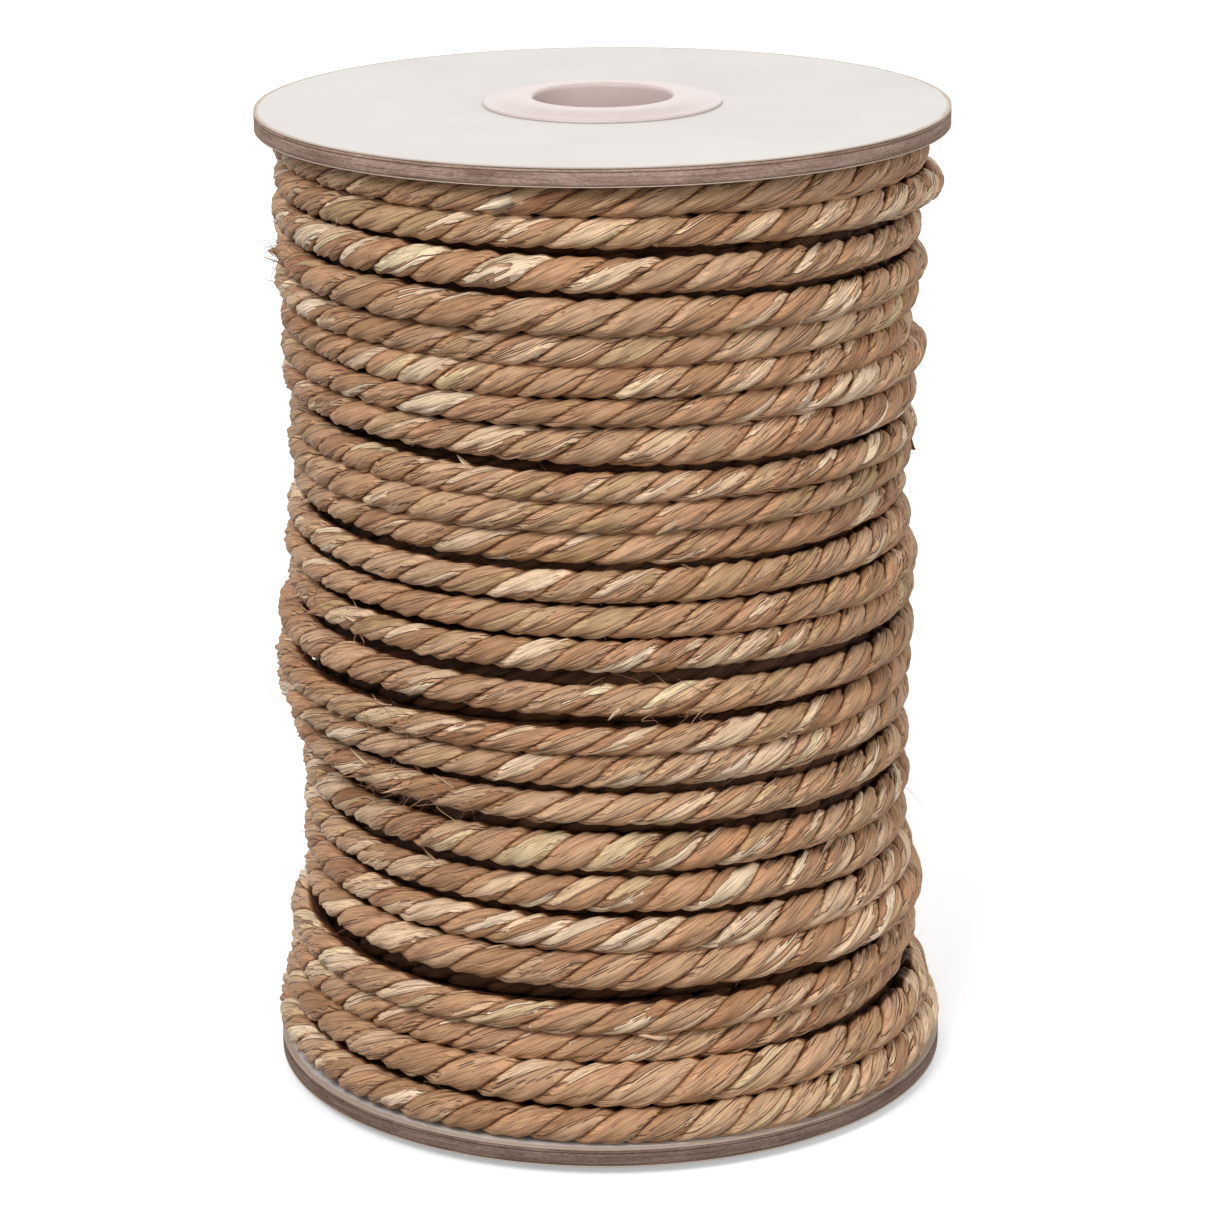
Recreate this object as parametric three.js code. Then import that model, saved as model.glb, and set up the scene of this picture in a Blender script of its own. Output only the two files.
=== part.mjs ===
// A spool of twisted seagrass cord. Two round greyboard flanges, each lined with white paper on both
// faces, stand on the ends of a paperboard tube. A plastic bush is pushed through each flange into the
// tube and clamps it there, and the two bushes share one through bore for a peg or a rod. The cord is
// wound on the tube in layers, and its first few centimetres are held down by a strip of paper tape.
// Units are millimetres. +Z runs along the bore, and the origin is the centre of the face that the
// spool stands on, which is the lower bush's plate.

import * as THREE from 'three';

// Flanges
const flangeDiameter = 100;
const boardThickness = 2.4;
const paperThickness = 0.15;
const windingWidth = 138;

// Bushes
const boreDiameter = 20;
const sleeveWall = 1.8;
const sleeveLength = 24;
const sleeveLeadIn = 1;
const plateDiameter = 34.4;
const plateThickness = 1.4;
const plateEdgeRadius = 0.6;
const boreLipRadius = 0.8;

// Tube and the tape on it
const tubeWall = 3;
const tapeWidth = 18;
const tapeLength = 30;
const tapeThickness = 0.15;
const tapeHeight = 3;

// Winding. Its level stretch stays rimMargin inside the flanges' rims. It swells out towards either
// flange, at full width for the last swellFlat, and draws in by waist at one height below the middle.
const rimMargin = 2.75;
const bottomSwell = 1.8;
const bottomSwellHeight = 20;
const topSwell = 2.4;
const topSwellHeight = 40;
const swellFlat = 8;
const waist = 0.9;
const waistHeight = 38;
const waistEnd = 56;

// Clearances: a bush in its hole, the tape on the tube, and the cord from what it lies against
const fitClearance = 0.2;
const tapeGap = 0.1;
const cordGap = 0.3;

// Fineness of the round pieces
const flangeSegments = 96;
const bushSegments = 64;
const arcSteps = 4;

// What follows from the sizes above
const flangeRadius = flangeDiameter / 2;
const boreRadius = boreDiameter / 2;
const sleeveRadius = boreRadius + sleeveWall;
const holeRadius = sleeveRadius + fitClearance;
const tubeRadius = holeRadius + tubeWall;
const flangeThickness = boardThickness + 2 * paperThickness;
const bottomFlangeBase = plateThickness;
const tubeBase = bottomFlangeBase + flangeThickness;
const topFlangeBase = tubeBase + windingWidth;
const spoolTop = topFlangeBase + flangeThickness;

const paper = { color: 0xede8e4, roughness: 0.75, metalness: 0 };
const greyboard = { color: 0x96877d, roughness: 0.95, metalness: 0 };
const kraft = { color: 0xa98d6b, roughness: 0.9, metalness: 0 };
const plastic = { color: 0xece4e2, roughness: 0.4, metalness: 0 };
const tape = { color: 0xd9c79a, roughness: 0.7, metalness: 0 };
const seagrass = { color: 0xab8f66, roughness: 0.9, metalness: 0 };

// A ring turned from a closed outline of [radius, height] points, listed anticlockwise.
function turnedRing(outline, segments) {
  const points = outline.map(([radius, height]) => new THREE.Vector2(radius, height));
  points.push(points[0].clone());
  const geometry = new THREE.LatheGeometry(points, segments);
  geometry.rotateX(Math.PI / 2);
  return geometry;
}

// A flat ring with square edges.
function flatRing(innerRadius, outerRadius, thickness, segments) {
  const outline = [
    [innerRadius, 0],
    [outerRadius, 0],
    [outerRadius, thickness],
    [innerRadius, thickness],
  ];
  return turnedRing(outline, segments);
}

// Points of a quarter round about a centre, from one angle to another.
function quarterRound(centreRadius, centreHeight, radius, fromAngle) {
  const points = [];
  for (let step = 0; step <= arcSteps; step += 1) {
    const angle = fromAngle + (step / arcSteps) * (Math.PI / 2);
    points.push([
      centreRadius + radius * Math.cos(angle),
      centreHeight + radius * Math.sin(angle),
    ]);
  }
  return points;
}

function named(name, geometry, finish) {
  const mesh = new THREE.Mesh(geometry, new THREE.MeshStandardMaterial(finish));
  mesh.name = name;
  return mesh;
}

// A flange: greyboard between two papers, with one hole through all three for the bush.
function flange(side, base, innerPaperIsAbove) {
  const group = new THREE.Group();
  const below = named(
    `${side}_flange_${innerPaperIsAbove ? 'face' : 'inner'}_paper`,
    flatRing(holeRadius, flangeRadius, paperThickness, flangeSegments),
    paper,
  );
  const board = named(
    `${side}_flange_board`,
    flatRing(holeRadius, flangeRadius, boardThickness, flangeSegments),
    greyboard,
  );
  board.position.z = paperThickness;
  const above = named(
    `${side}_flange_${innerPaperIsAbove ? 'inner' : 'face'}_paper`,
    flatRing(holeRadius, flangeRadius, paperThickness, flangeSegments),
    paper,
  );
  above.position.z = paperThickness + boardThickness;
  group.add(below, board, above);
  group.position.z = base;
  return group;
}

// A bush: a round plate that lies on the flange's face at height 0, and a sleeve below it.
function bushGeometry() {
  const plateRadius = plateDiameter / 2;
  const outline = [
    [boreRadius, -sleeveLength],
    [sleeveRadius - sleeveLeadIn, -sleeveLength],
    [sleeveRadius, -sleeveLength + sleeveLeadIn],
    [sleeveRadius, 0],
    [plateRadius, 0],
    ...quarterRound(plateRadius - plateEdgeRadius, plateThickness - plateEdgeRadius, plateEdgeRadius, 0),
    ...quarterRound(boreRadius + boreLipRadius, plateThickness - boreLipRadius, boreLipRadius, Math.PI / 2),
  ];
  return turnedRing(outline, bushSegments);
}

function upperBush() {
  const bush = named('upper_hub_bush', bushGeometry(), plastic);
  bush.position.z = spoolTop;
  return bush;
}

function lowerBush() {
  const bush = named('lower_hub_bush', bushGeometry().rotateX(Math.PI), plastic);
  bush.position.z = bottomFlangeBase;
  return bush;
}

// The tube that the cord is wound on. The flanges butt against its ends.
function windingTube() {
  const tube = named(
    'winding_tube',
    flatRing(holeRadius, tubeRadius, windingWidth, bushSegments),
    kraft,
  );
  tube.position.z = tubeBase;
  return tube;
}

// The strip of tape over the cord's first end, bent round the tube near its foot.
function startTape() {
  const innerRadius = tubeRadius + tapeGap;
  const halfAngle = tapeLength / innerRadius / 2;
  const strip = new THREE.Shape();
  strip.absarc(0, 0, innerRadius + tapeThickness, -halfAngle, halfAngle, false);
  strip.absarc(0, 0, innerRadius, halfAngle, -halfAngle, true);
  const geometry = new THREE.ExtrudeGeometry(strip, {
    depth: tapeWidth,
    bevelEnabled: false,
    curveSegments: arcSteps * 4,
  });
  const mesh = named('start_tape', geometry, tape);
  mesh.position.z = tubeBase + tapeHeight;
  return mesh;
}

// The wound cord as one plain ring. Its outside follows the outermost layer, which is slack below
// the middle and crowds out over the last turns at both flanges.
function cordWinding() {
  const innerRadius = tubeRadius + tapeGap + tapeThickness + cordGap;
  const levelRadius = flangeRadius - rimMargin;
  const low = cordGap;
  const high = windingWidth - cordGap;
  const outline = [
    [innerRadius, low],
    [levelRadius + bottomSwell, low],
    [levelRadius + bottomSwell, low + swellFlat],
    [levelRadius, low + bottomSwellHeight],
    [levelRadius - waist, low + waistHeight],
    [levelRadius, low + waistEnd],
    [levelRadius, high - topSwellHeight],
    [levelRadius + topSwell, high - swellFlat],
    [levelRadius + topSwell, high],
    [innerRadius, high],
  ];
  const winding = named('cord_winding', turnedRing(outline, flangeSegments), seagrass);
  winding.position.z = tubeBase;
  return winding;
}

const spool = new THREE.Group();
spool.name = 'cord_spool';
spool.add(
  flange('bottom', bottomFlangeBase, true),
  flange('top', topFlangeBase, false),
  windingTube(),
  lowerBush(),
  upperBush(),
  startTape(),
  cordWinding(),
);

export default spool;
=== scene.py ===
import math

import bpy
import numpy as np
from mathutils import Matrix, Vector


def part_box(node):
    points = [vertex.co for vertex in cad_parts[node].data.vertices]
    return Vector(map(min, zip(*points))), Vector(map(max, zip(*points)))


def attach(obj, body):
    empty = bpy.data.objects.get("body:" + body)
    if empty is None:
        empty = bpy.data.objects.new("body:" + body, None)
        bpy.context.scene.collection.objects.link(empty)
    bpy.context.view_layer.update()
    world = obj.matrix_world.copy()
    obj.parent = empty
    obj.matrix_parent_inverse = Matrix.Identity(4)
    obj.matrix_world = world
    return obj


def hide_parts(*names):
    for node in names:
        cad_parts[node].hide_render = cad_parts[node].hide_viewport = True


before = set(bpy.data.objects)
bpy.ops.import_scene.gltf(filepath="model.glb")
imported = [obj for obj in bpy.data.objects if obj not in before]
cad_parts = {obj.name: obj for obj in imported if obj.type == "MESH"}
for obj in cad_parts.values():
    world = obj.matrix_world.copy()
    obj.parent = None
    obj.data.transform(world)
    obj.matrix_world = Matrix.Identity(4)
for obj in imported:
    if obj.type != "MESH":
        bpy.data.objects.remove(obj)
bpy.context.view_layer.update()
mm = 0.001
print("frame loaded")

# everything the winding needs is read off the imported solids
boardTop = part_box("top_flange_board")
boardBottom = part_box("bottom_flange_board")
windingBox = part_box("cord_winding")
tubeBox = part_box("winding_tube")
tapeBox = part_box("start_tape")


def halfWidth(box):
    return (box[1][0] - box[0][0]) / 2


rimRadius = halfWidth(boardTop)
tubeRadius = halfWidth(tubeBox)
tubeBore = 0.8 * tubeRadius
lowestTurn = windingBox[0][2] / mm + 2.1
highestTurn = windingBox[1][2] / mm - 2.1

camera = {
    "place": (0.0, -0.5824, 0.2463),  # m
    "tilt": 16.09,  # degrees below the horizon
    "roll": -0.5,
    "lens": 121.4,
    "shift": (0.0006, -0.049),
}


def addObject(name, data):
    ob = bpy.data.objects.new(name, data)
    bpy.context.collection.objects.link(ob)
    return ob


def placeCamera():
    data = bpy.data.cameras.new("camera")
    data.lens = camera["lens"]
    data.sensor_width = 36
    data.shift_x, data.shift_y = camera["shift"]
    data.clip_start, data.clip_end = 0.01, 20
    ob = addObject("camera", data)
    turn = Matrix.Rotation(math.radians(90 - camera["tilt"]), 4, "X")
    roll = Matrix.Rotation(math.radians(camera["roll"]), 4, "Z")
    ob.matrix_world = Matrix.Translation(camera["place"]) @ turn @ roll
    bpy.context.scene.camera = ob


placeCamera()
print("camera placed")


# the cord: two flat plies of dried leaf twisted together, S laid
cord = {
    "diameter": 4.5,  # mm, loose on the outside of the roll
    "lay": 14.4,  # mm for one full turn of the two plies
    "plyOffset": 1.0,  # mm from the cord's middle to a ply's middle
    "plyThick": 1.13,  # mm, half
    "plyWide": 1.93,  # mm, half
    "outerBoxiness": 2.15,
    "innerBoxiness": 4.6,  # a ply is pressed flat against the other one
    "fibreSlide": 0.75,  # how far the leaf lies flatter than the plies
    "unevenness": 0.085,
}

# the hidden layers, wound first from the tape outwards
innerWinding = {
    "layers": 7,
    "turns": 32,
    "firstGap": 2.65,  # mm from the tube to the first layer's middle
    "rise": 3.75,  # mm from layer to layer
    "climb": 0.22,  # turns taken to step up a layer at a flange
    "pressed": 0.9,  # its width in and out, and its height
    "flattened": 0.94,
    "paintedDimming": 0.5,  # painted shade: how far the leaves' light is dimmed, and how far each is at least painted in shade
    "shade": 0.82,
    # where the last layer stands out under a gap at the edge of the roll: height, side, mm
    "rideOut": ((67, -162, 1.8), (136.5, 2, 1.2)),
}

# the outside layer, from the top flange down; room is what each turn takes at the front, mm
outerWinding = {
    "room": (
        4.6, 5.8, 5.5, 5.0, 4.5, 4.2, 4.7, 5.5, 4.8, 4.3, 5.0, 5.2, 6.0,
        6.0, 4.8, 4.3, 6.0, 7.0, 5.7, 5.7, 6.2, 5.5, 4.6, 5.3, 6.2,
    ),
    "middle": 44.1,  # mm, radius of the cord's middle
    "closest": 4.25,  # mm between two turns
    "leftOut": 1.3,  # mm, how far the left side stands out
    "swell": ((134, 1.2, 6), (96, -1.1, 8), (60, 0.6, 6), (42, -1.3, 8), (27, 0.5, 4), (7, 2.5, 7)),
    "perTurn": 360,
}

# where neighbouring turns stand apart: height, side in degrees, half width of the place, opening in mm
openings = (
    (133, -40, 50, 1.5), (126, -60, 45, 1.8), (128, -140, 30, 1.4), (120, -95, 40, 1.0),
    (102, -90, 35, 1.0), (88, -115, 30, 1.4), (71, -108, 24, 4.2), (57, -80, 40, 1.4),
    (43, -65, 40, 1.6), (33, -150, 30, 2.0), (25, -135, 28, 3.6), (12, -112, 30, 3.4),
    (112, 40, 50, 1.6), (84, 95, 45, 1.8), (50, 130, 40, 1.8), (25, 60, 45, 1.6),
)

# loose loops that stand out: turn from the top, side, half width, how far out in mm
bulges = (
    (0, 0, 40, 0.5), (1, 0, 40, 2.4), (1, 180, 30, -0.8), (3, -170, 30, -0.2), (5, 0, 30, -1.4),
    (6, 180, 30, -0.5), (6, 10, 25, 1.7), (8, 180, 30, -0.8), (9, -178, 25, 0.3),
    (12, -175, 30, 1.6), (14, 180, 30, 1.8), (15, 0, 40, -1.5), (15, -160, 34, 2.0),
    (16, 0, 40, -1.0), (16, 180, 34, 1.4), (17, 0, 40, -0.8), (18, 180, 30, -0.4),
    (19, 180, 36, -0.3), (20, 180, 30, -0.4), (21, 180, 30, -1.2), (21, -12, 30, 1.9),
    (22, 180, 30, -1.2), (22, 0, 40, -0.4), (23, 0, 40, -2.0), (22, -160, 40, 1.2),
    (24, -140, 50, 0.8), (25, -95, 60, 1.6), (5, 90, 50, 1.2), (15, 70, 40, 1.0),
    (19, 120, 45, 1.3),
)


def bell(away, reach):
    return np.exp(-0.5 * (away / reach) ** 2)


def swing(rng, count, reach):
    # a seeded drift that turns over about every reach samples, one unit high
    reach = max(1, int(reach))
    raw = rng.standard_normal(count + 8 * reach)
    weight = bell(np.arange(-3 * reach, 3 * reach + 1), reach)
    drift = np.convolve(raw, weight / np.sqrt((weight**2).sum()), "same")
    return drift[4 * reach : 4 * reach + count]


def soften(line, reach):
    # a running average that keeps the ends where they are
    weight = bell(np.arange(-3 * reach, 3 * reach + 1), reach)
    padded = np.pad(line, 3 * reach, mode="reflect", reflect_type="odd")
    return np.convolve(padded, weight / weight.sum(), "valid")


def sideGap(phi, side):
    return (phi - side + 180) % 360 - 180


def swellAt(z):
    # how far the roll stands out or in at a height
    return sum(out * bell(z - height, reach) for height, out, reach in outerWinding["swell"])


def outerPath():
    plan = outerWinding
    rng = np.random.default_rng(11)
    per = plan["perTurn"]
    turns = len(plan["room"]) + 1
    count = turns * per + 1
    t = np.arange(count) / per
    phi = 90 + 360 * t
    low, high = lowestTurn, highestTurn
    room = np.array(plan["room"])
    room = room * (high - low) / room.sum()
    fronts = high - np.concatenate([[0], np.cumsum(room)])
    z = np.interp(t - 0.5, np.arange(len(fronts)), fronts)
    z = soften(z, per // 6)
    for height, side, width, opening in openings:
        near = bell(sideGap(phi, side), width)
        away = z - height
        z = z + opening / 2 * np.tanh(away / 1.5) * np.exp(-np.abs(away) / 14) * near
    z = z + 0.5 * swing(rng, count, per / 5) + 0.12 * swing(rng, count, per / 20)
    r = np.full(count, plan["middle"])
    r = r + swellAt(z) - plan["leftOut"] * 0.5 * np.cos(np.radians(phi))
    r = r + 0.42 * swing(rng, count, per / 6) + 0.1 * swing(rng, count, per / 30)
    for turn, side, width, out in bulges:
        at = turn + (side - 90) % 360 / 360
        r = r + out * bell((t - at) * 360, width)
    for _ in range(160):  # neighbours push each other apart
        over = np.maximum(0, plan["closest"] - (z[:-per] - z[per:]))
        z[:-per] += over * 0.5
        z[per:] -= over * 0.5
        z = soften(z, 6)
        z = np.clip(z, low, high)
    # what can't move apart rides over
    tight = np.maximum(0, plan["closest"] - (z[:-per] - z[per:]))
    r[per:] += soften(tight, 8) * 0.8
    start = np.clip(t / 0.3, 0, 1)
    r = r - (1 - start * start * (3 - 2 * start)) * innerWinding["rise"]
    r = np.minimum(r, rimRadius / mm - 2.25)
    return np.radians(phi), r, z


def innerPath(first, last):
    # layers first to last, each the other way along the tube from the one under it
    plan = innerWinding
    rng = np.random.default_rng(5)
    low, high = lowestTurn, highestTurn
    per = 60
    layers = plan["layers"]
    total = layers * plan["turns"] * per
    k = np.arange(total + 1)
    t = k / per
    layer = np.minimum(t // plan["turns"], layers - 1)
    along = t / plan["turns"] - layer
    up = layer % 2 == 0
    z = np.where(up, low + (high - low) * along, high - (high - low) * along)
    climb = np.clip((t - (layer + 1) * plan["turns"] + plan["climb"]) / plan["climb"], 0, 1)
    step = climb * climb * (3 - 2 * climb) * (layer < layers - 1)
    r = tubeRadius / mm + plan["firstGap"] + plan["rise"] * (layer + step)
    z = z + 0.12 * swing(rng, total + 1, per / 6)
    z = np.clip(z, low, high)
    r = r + 0.7 * swellAt(z) * (layer / (layers - 1)) ** 2
    # it ends at the back, where the outside layer starts
    phi = 90 + 360 * (t - layers * plan["turns"])
    for height, side, out in plan["rideOut"]:
        r = r + out * bell(z - height, 4) * bell(sideGap(phi, side), 26) * (layer == layers - 1)
    a = int(first * plan["turns"] * per)
    b = int((last + 1) * plan["turns"] * per)
    return np.radians(phi[a : b + 1]), r[a : b + 1], z[a : b + 1]


def toPoints(phi, r, z):
    return np.stack([r * np.cos(phi), r * np.sin(phi), z], 1)


def evenSteps(points, step, extras):
    # the same line with a point every step mm
    leg = np.linalg.norm(np.diff(points, axis=0), axis=1)
    s = np.concatenate([[0], np.cumsum(leg)])
    count = max(2, int(round(s[-1] / step)))
    new = np.linspace(0, s[-1], count + 1)
    line = np.stack([np.interp(new, s, points[:, k]) for k in range(3)], 1)
    return new, line, [np.interp(new, s, e) for e in extras]


def frames(line):
    # at each point the way straight out from the roll, and the way across that and the line
    along = np.gradient(line, axis=0)
    along /= np.linalg.norm(along, axis=1)[:, None]
    out = line * np.array([1.0, 1.0, 0.0])
    out -= (out * along).sum(1)[:, None] * along
    out /= np.linalg.norm(out, axis=1)[:, None]
    return out, np.cross(along, out)


# the leaf grain's own map: mm round a ply, and the columns of mesh in it
grainLine = {"round": 9.6, "columns": 24}

# the dried leaves that make up a ply; sizes in mm, width in columns of the mesh
leaves = {
    "length": (10, 44),
    "width": (5, 15),
    "tip": 9,
    "cover": 1.9,  # how many leaves lie over each place
    "tone": (0.46, 0.11),  # middle and spread
    "light": (0.52, 0.13),
    "pale": 0.23,  # share of the leaves
    "paleTone": (0.8, 1.0),
    "red": 0.08,
    "redTone": (0.05, 0.25),
    "lift": 0.19,  # mm
}

# the relief of a ply in mm, and how far painted shade darkens it towards the inside of the cord
relief = {"crease": 0.17, "end": 0.03, "groove": 0.08, "split": 0.2, "splitFrom": 1.1, "shadeFrom": 0.44}


def layLeaves(rng, rings, columns, step):
    # later leaves lie over earlier ones, and each face keeps the one that shows
    low, high = leaves["length"]
    shown = np.zeros((rings, columns), np.int32)
    mean = (low + high) / 2 / step * (leaves["width"][0] + leaves["width"][1]) / 2
    scale = columns / grainLine["columns"]
    count = int(leaves["cover"] * rings * columns / mean / scale) + 4
    starts = rng.uniform(-high / step, rings, count)
    lengths = rng.uniform(low, high, count) / step
    widths = rng.uniform(*leaves["width"], count) * scale
    sides = rng.integers(0, columns, count)
    for k in range(count):
        a = max(0, int(starts[k]))
        b = min(rings, int(starts[k] + lengths[k]))
        if b - a < 2:
            continue
        rows = np.arange(a, b)
        edge = np.minimum(rows - starts[k], starts[k] + lengths[k] - rows) * step
        half = widths[k] / 2 * np.clip(edge / leaves["tip"], 0, 1) ** 0.7
        reach = int(widths[k] / 2) + 1
        for c in range(-reach, reach + 1):
            shown[rows[np.abs(c) <= half], (sides[k] + c) % columns] = k + 1
    kind = rng.random(count + 1)
    tone = rng.normal(*leaves["tone"], count + 1)
    pale = kind < leaves["pale"]
    tone[pale] = rng.uniform(*leaves["paleTone"], pale.sum())
    kind -= leaves["pale"]
    red = (kind >= 0) & (kind < leaves["red"])
    tone[red] = rng.uniform(*leaves["redTone"], red.sum())
    light = rng.normal(*leaves["light"], count + 1)
    lift = rng.uniform(0, leaves["lift"], count + 1)
    return shown, np.clip(tone, 0, 1), np.clip(light, 0, 1), rng.random(count + 1), lift


def plySurface(rng, line, phase, wide, tall, thick, columns, step, leafPlans, rough):
    # points of both plies, ring by ring; the section is a flat round-cornered half
    out, side = frames(line)
    rings = len(line)
    grid, creases, insides = [], [], []
    for ply in range(2):
        turn = phase + math.pi * ply
        radial = np.cos(turn)[:, None] * out + np.sin(turn)[:, None] * side
        across = -np.sin(turn)[:, None] * out + np.cos(turn)[:, None] * side
        theta = 2 * math.pi * np.arange(columns)[None, :] / columns
        theta = theta - cord["fibreSlide"] * phase[:, None]
        theta = theta - 0.35 * np.sin(theta)
        c, s = np.cos(theta), np.sin(theta)
        power = np.where(c > 0, 2 / cord["outerBoxiness"], 2 / cord["innerBoxiness"])
        x = np.sign(c) * np.abs(c) ** power
        y = np.sign(s) * np.abs(s) ** power
        shown, _, _, _, lift = leafPlans[ply]
        before = np.vstack([shown[:1], shown])
        after = np.vstack([shown, shown[-1:]])
        left = np.roll(after, 1, axis=1)
        crease = (after != left).astype(float)
        ends = (after != before).astype(float)
        high = lift[after]
        high = (high + np.roll(high, 1, axis=1)) / 2
        grooves = np.stack([swing(rng, rings, 6 / step) for _ in range(columns)], 1)
        deep = np.stack([swing(rng, rings, 3 / step) for _ in range(columns)], 1)
        split = np.clip(deep - relief["splitFrom"], 0, 1)
        offset = rough * (high - relief["crease"] * crease * (0.7 + 0.3 * deep) - relief["end"] * ends)
        offset += rough * relief["groove"] * grooves - rough * relief["split"] * split
        px = cord["plyOffset"] * thick[:, None] + (cord["plyThick"] * thick[:, None] + offset) * x
        py = (cord["plyWide"] * thick[:, None] + offset) * y
        spot = px[..., None] * radial[:, None, :] + py[..., None] * across[:, None, :]
        # squeezed between its neighbours, the cord goes flatter and wider
        depth = (spot * out[:, None, :]).sum(2)
        # painted shade: darker towards the middle of the roll and on the ply's inner flank, against the other
        # ply
        flank = (-x - 0.4) * 1.6
        insides.append(np.clip(np.maximum(relief["shadeFrom"] - depth / 1.05, flank), 0, 1))
        inOut = depth[..., None] * out[:, None, :]
        upDown = (spot * side[:, None, :]).sum(2)[..., None] * side[:, None, :]
        spot = inOut * wide[:, None, None] + upDown * tall[:, None, None]
        grid.append(line[:, None, :] + spot)
        # the crease map, where the finish paints shade in the gaps between leaves and in the deep splits
        creases.append(np.clip(crease + 0.3 * ends + 0.8 * split, 0, 1))
    return grid, creases, insides


def quadBands(rings, columns):
    # the four corners of each face between rings of points, and the column each starts in
    i, j = np.meshgrid(np.arange(rings - 1), np.arange(columns), indexing="ij")
    k = (j + 1) % columns
    here = i * columns
    return np.stack([here + j, here + k, here + columns + k, here + columns + j], 2), j


def makeMesh(name, spots, loops, sizes, crease, inside, leaf, grain):
    # a mesh in mm from its faces' corners, with the maps that the seagrass finish reads
    me = bpy.data.meshes.new(name)
    me.vertices.add(len(spots))
    me.vertices.foreach_set("co", (spots * mm).astype(np.float32).reshape(-1))
    me.loops.add(len(loops))
    me.loops.foreach_set("vertex_index", loops.astype(np.int32))
    me.polygons.add(len(sizes))
    me.polygons.foreach_set("loop_start", np.concatenate([[0], np.cumsum(sizes)[:-1]]).astype(np.int32))
    me.polygons.foreach_set("use_smooth", np.ones(len(sizes), bool))
    me.update(calc_edges=True)
    for key, values in (("crease", crease), ("inside", inside)):
        me.attributes.new(key, "FLOAT", "POINT").data.foreach_set("value", values.astype(np.float32))
    color = me.color_attributes.new("leaf", "FLOAT_COLOR", "CORNER")
    color.data.foreach_set("color", leaf.astype(np.float32).reshape(-1))
    layer = me.uv_layers.new(name="grain")
    layer.data.foreach_set("uv", grain.astype(np.float32).reshape(-1))
    return addObject(name, me)


def plyPiece(name, grid, creases, insides, leafPlans, lengthAt, a, b):
    # rings a to b of both plies as one closed mesh, with the leaf each face shows
    verts, faces, crease, inside, leaf, grain = ([] for _ in range(6))
    rings = b - a + 1
    columns = grid[0].shape[1]
    quads, j = quadBands(rings, columns)
    for ply in range(2):
        shown, tone, light, seed, _ = leafPlans[ply]
        verts.append(grid[ply][a : b + 1].reshape(-1, 3))
        crease.append(creases[ply][a : b + 1].reshape(-1))
        inside.append(insides[ply][a : b + 1].reshape(-1))
        faces.append(quads.reshape(-1, 4) + ply * rings * columns)
        which = shown[a:b].reshape(-1)
        face = np.stack([tone[which], light[which], seed[which], np.ones(len(which))], 1)
        leaf.append(np.repeat(face, 4, axis=0))
        u = np.stack([j, j + 1, j + 1, j], 2).reshape(-1) * grainLine["round"] / columns
        v = lengthAt[a:b]
        w = lengthAt[a + 1 : b + 1]
        v = np.stack([v, v, w, w], 1)[:, None, :].repeat(columns, 1).reshape(-1)
        grain.append(np.stack([u, v], 1))
    # the ends are closed with rings of their own, so that the side's shading runs on
    total = 2 * rings * columns
    caps = []
    for ply in range(2):
        for end, way in ((a, -1), (b, 1)):
            caps.append(np.arange(columns)[::way] + total)
            total += columns
            verts.append(grid[ply][end])
    crease.append(np.zeros(4 * columns))
    # the caps are painted wholly in shade
    inside.append(np.ones(4 * columns))
    leaf.append(np.tile([0.3, 0.3, 0.5, 1.0], (4 * columns, 1)))
    grain.append(np.zeros((4 * columns, 2)))
    sides = np.concatenate(faces)
    loops = np.concatenate([sides.reshape(-1), *caps])
    sizes = np.concatenate([np.full(len(sides), 4), np.full(len(caps), columns)])
    maps = (np.concatenate(part) for part in (crease, inside, leaf, grain))
    return makeMesh(name, np.concatenate(verts), loops, sizes, *maps)


def lengthOf(line):
    return np.linalg.norm(np.diff(line, axis=0), axis=1).sum()


def layPhase(rng, s):
    # the twist is not quite even along the cord
    drift = 1 + 0.09 * swing(rng, len(s), 40 / (s[1] - s[0]))
    return -np.concatenate([[0], np.cumsum(np.diff(s) * 2 * math.pi / cord["lay"] * drift[1:])])


cordPieces = []


def declareRun(ob):
    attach(ob, "root")
    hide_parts("cord_winding")
    cordPieces.append(ob)


def innerRun(name, first, last, step, columns, seed, rough):
    rng = np.random.default_rng(seed)
    phi, r, z = innerPath(first, last)
    s, line, _ = evenSteps(toPoints(phi, r, z), step, [])
    rings = len(line)
    plans = [layLeaves(rng, rings - 1, columns, step) for _ in range(2)]
    # painted shade: the hidden layers' leaves are dimmed
    for plan in plans:
        plan[2][:] = plan[2] * innerWinding["paintedDimming"]
    even = np.full(rings, 1.0)
    wide, tall = even * innerWinding["pressed"], even * innerWinding["flattened"]
    thick = 1 + cord["unevenness"] * 0.6 * swing(rng, rings, 40 / step)
    surface = plySurface(rng, line, layPhase(rng, s), wide, tall, thick, columns, step, plans, rough)
    # painted shade: every hidden leaf is painted at least this far into shade
    for inside in surface[2]:
        inside[:] = np.maximum(inside, innerWinding["shade"])
    ob = plyPiece(name, *surface, plans, s, 0, rings - 1)
    return ob, line


def makeInner():
    # three pieces for the six layers that never show, and a finer one for the seventh, seen in the gaps
    last = None
    length = 0
    for name, first, final, step, columns, rough in (
        ("cord_layers_1_2_3", 0, 2, 2.4, 6, 0.3),
        ("cord_layers_4_5", 3, 4, 2.4, 7, 0.3),
        ("cord_layer_6", 5, 5, 2.2, 8, 0.3),
        ("cord_layer_7", 6, 6, 1.7, 9, 0.8),
    ):
        ob, line = innerRun(name, first, final, step, columns, 20 + first, rough)
        declareRun(ob)
        last = line[-1]
        length += lengthOf(line)
    return last, length


innerEnd, innerLength = makeInner()
print(f"inner layers wound, {innerLength * mm:.1f} m")

outer = {
    "step": 0.7,  # mm
    "columns": 24,
    "runs": 6,
    "flatter": (0.86, 1.04),  # how far tight neighbours press the cord flat
    "slack": (12, 12, 0.11),  # the lowest turns are wound slack, and fuller: height, reach, share
}


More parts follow.
